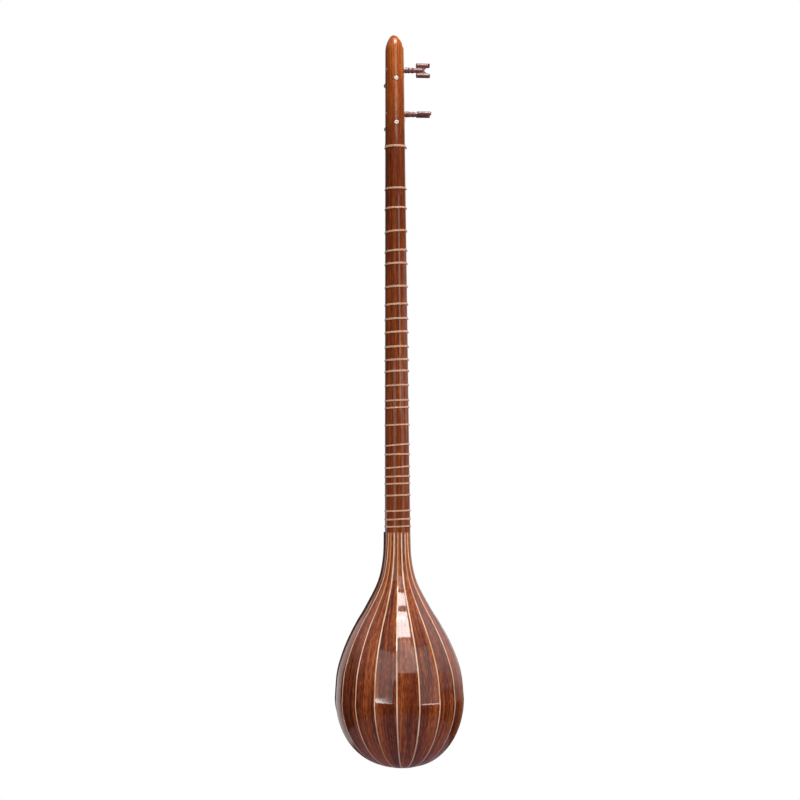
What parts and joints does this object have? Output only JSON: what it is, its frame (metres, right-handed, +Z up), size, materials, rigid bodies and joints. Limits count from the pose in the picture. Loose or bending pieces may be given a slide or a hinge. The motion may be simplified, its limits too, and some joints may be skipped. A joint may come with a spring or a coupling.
{
  "type": "setar",
  "caption": "Long-necked plucked lute with a ribbed pear-shaped bowl, tied gut frets, turning pegs and a sliding bridge.",
  "frame": {"origin": "where a wall hook or stand holds the neck: on the centre line of the flat front of the neck, just under the lowest peg and 22 mm above the nut", "axes": "+Z up the neck towards its tip, -Y out of the playing face, +X towards the player's right as seen from the front, away from the two side pegs"},
  "size_m": [0.148, 0.1288, 0.8469],
  "materials": {
    "neck_wood": "gloss lacquer over red-brown walnut",
    "rib_wood": "gloss lacquer over walnut staves",
    "purfling_wood": "lacquered light maple line",
    "soundboard_wood": "thin satin lacquer over mulberry",
    "ebony": "lacquered dark hardwood",
    "block_wood": "bare softwood inside the bowl",
    "peg_wood": "polished red-brown hardwood",
    "bone": "polished bone",
    "gut": "dry gut thread",
    "string_steel": "drawn steel wire",
    "string_brass": "drawn brass wire"
  },
  "bodies": {
    "instrument": {"neck": "neck_wood", "soundboard": "soundboard_wood", "edge_binding": "ebony", "rib_purfling": "purfling_wood", "neck_block": "block_wood", "tail_block": "block_wood", "nut": "bone", "string_holder": "bone", "nut_tie": "gut", "string_1": "string_steel", "string_2": "string_brass", "string_3": "string_steel", "string_4": "string_brass", "rib_01": "rib_wood", "rib_02": "rib_wood", "rib_03": "rib_wood", "rib_04": "rib_wood", "rib_05": "rib_wood", "rib_06": "rib_wood", "rib_07": "rib_wood", "rib_08": "rib_wood", "rib_09": "rib_wood", "rib_10": "rib_wood", "rib_11": "rib_wood"},
    "peg_front_lower": {"peg_front_lower": "peg_wood", "winding_front_lower": "string_brass", "peg_tip_front_lower": "bone"},
    "peg_front_upper": {"peg_front_upper": "peg_wood", "winding_front_upper": "string_steel", "peg_tip_front_upper": "bone"},
    "peg_side_lower": {"peg_side_lower": "peg_wood", "winding_side_lower": "string_brass"},
    "peg_side_upper": {"peg_side_upper": "peg_wood", "winding_side_upper": "string_steel"},
    "bridge": {"bridge": "ebony"},
    "fret_01": {"fret_01": "gut"},
    "fret_02": {"fret_02": "gut"},
    "fret_03": {"fret_03": "gut"},
    "fret_04": {"fret_04": "gut"},
    "fret_05": {"fret_05": "gut"},
    "fret_06": {"fret_06": "gut"},
    "fret_07": {"fret_07": "gut"},
    "fret_08": {"fret_08": "gut"},
    "fret_09": {"fret_09": "gut"},
    "fret_10": {"fret_10": "gut"},
    "fret_11": {"fret_11": "gut"},
    "fret_12": {"fret_12": "gut"},
    "fret_13": {"fret_13": "gut"},
    "fret_14": {"fret_14": "gut"},
    "fret_15": {"fret_15": "gut"},
    "fret_16": {"fret_16": "gut"},
    "fret_17": {"fret_17": "gut"},
    "fret_18": {"fret_18": "gut"},
    "fret_19": {"fret_19": "gut"},
    "fret_20": {"fret_20": "gut"},
    "fret_21": {"fret_21": "gut"},
    "fret_22": {"fret_22": "gut"},
    "fret_23": {"fret_23": "gut"},
    "fret_24": {"fret_24": "gut"},
    "fret_25": {"fret_25": "gut"}
  },
  "joints": [
    {"name": "peg_front_lower_turn", "type": "hinge", "parent": "instrument", "child": "peg_front_lower", "pos_m": [0, 0, 0.0054], "axis": [0, -1, 0], "continuous": true},
    {"name": "peg_front_upper_turn", "type": "hinge", "parent": "instrument", "child": "peg_front_upper", "pos_m": [0, 0, 0.0571], "axis": [0, -1, 0], "continuous": true},
    {"name": "peg_side_lower_turn", "type": "hinge", "parent": "instrument", "child": "peg_side_lower", "pos_m": [0, 0.011, 0.0164], "axis": [-1, 0, 0], "continuous": true},
    {"name": "peg_side_upper_turn", "type": "hinge", "parent": "instrument", "child": "peg_side_upper", "pos_m": [0, 0.011, 0.0681], "axis": [-1, 0, 0], "continuous": true},
    {"name": "bridge_slide", "type": "slide", "parent": "instrument", "child": "bridge", "axis": [0, 0, 1], "range_m": [-0.002, 0.002]},
    {"name": "fret_01_slide", "type": "slide", "parent": "instrument", "child": "fret_01", "axis": [0, 0, 1], "range_m": [-0.004, 0.004]},
    {"name": "fret_02_slide", "type": "slide", "parent": "instrument", "child": "fret_02", "axis": [0, 0, 1], "range_m": [-0.004, 0.004]},
    {"name": "fret_03_slide", "type": "slide", "parent": "instrument", "child": "fret_03", "axis": [0, 0, 1], "range_m": [-0.004, 0.004]},
    {"name": "fret_04_slide", "type": "slide", "parent": "instrument", "child": "fret_04", "axis": [0, 0, 1], "range_m": [-0.004, 0.004]},
    {"name": "fret_05_slide", "type": "slide", "parent": "instrument", "child": "fret_05", "axis": [0, 0, 1], "range_m": [-0.004, 0.004]},
    {"name": "fret_06_slide", "type": "slide", "parent": "instrument", "child": "fret_06", "axis": [0, 0, 1], "range_m": [-0.004, 0.004]},
    {"name": "fret_07_slide", "type": "slide", "parent": "instrument", "child": "fret_07", "axis": [0, 0, 1], "range_m": [-0.004, 0.004]},
    {"name": "fret_08_slide", "type": "slide", "parent": "instrument", "child": "fret_08", "axis": [0, 0, 1], "range_m": [-0.004, 0.004]},
    {"name": "fret_09_slide", "type": "slide", "parent": "instrument", "child": "fret_09", "axis": [0, 0, 1], "range_m": [-0.004, 0.004]},
    {"name": "fret_10_slide", "type": "slide", "parent": "instrument", "child": "fret_10", "axis": [0, 0, 1], "range_m": [-0.004, 0.004]},
    {"name": "fret_11_slide", "type": "slide", "parent": "instrument", "child": "fret_11", "axis": [0, 0, 1], "range_m": [-0.004, 0.004]},
    {"name": "fret_12_slide", "type": "slide", "parent": "instrument", "child": "fret_12", "axis": [0, 0, 1], "range_m": [-0.004, 0.004]},
    {"name": "fret_13_slide", "type": "slide", "parent": "instrument", "child": "fret_13", "axis": [0, 0, 1], "range_m": [-0.004, 0.004]},
    {"name": "fret_14_slide", "type": "slide", "parent": "instrument", "child": "fret_14", "axis": [0, 0, 1], "range_m": [-0.0026, 0.0026]},
    {"name": "fret_15_slide", "type": "slide", "parent": "instrument", "child": "fret_15", "axis": [0, 0, 1], "range_m": [-0.0026, 0.0026]},
    {"name": "fret_16_slide", "type": "slide", "parent": "instrument", "child": "fret_16", "axis": [0, 0, 1], "range_m": [-0.004, 0.004]},
    {"name": "fret_17_slide", "type": "slide", "parent": "instrument", "child": "fret_17", "axis": [0, 0, 1], "range_m": [-0.0039, 0.0039]},
    {"name": "fret_18_slide", "type": "slide", "parent": "instrument", "child": "fret_18", "axis": [0, 0, 1], "range_m": [-0.0039, 0.0039]},
    {"name": "fret_19_slide", "type": "slide", "parent": "instrument", "child": "fret_19", "axis": [0, 0, 1], "range_m": [-0.0038, 0.0038]},
    {"name": "fret_20_slide", "type": "slide", "parent": "instrument", "child": "fret_20", "axis": [0, 0, 1], "range_m": [-0.0027, 0.0027]},
    {"name": "fret_21_slide", "type": "slide", "parent": "instrument", "child": "fret_21", "axis": [0, 0, 1], "range_m": [-0.0027, 0.0027]},
    {"name": "fret_22_slide", "type": "slide", "parent": "instrument", "child": "fret_22", "axis": [0, 0, 1], "range_m": [-0.004, 0.004]},
    {"name": "fret_23_slide", "type": "slide", "parent": "instrument", "child": "fret_23", "axis": [0, 0, 1], "range_m": [-0.0033, 0.0033]},
    {"name": "fret_24_slide", "type": "slide", "parent": "instrument", "child": "fret_24", "axis": [0, 0, 1], "range_m": [-0.0026, 0.0026]},
    {"name": "fret_25_slide", "type": "slide", "parent": "instrument", "child": "fret_25", "axis": [0, 0, 1], "range_m": [-0.0026, 0.0026]}
  ]
}
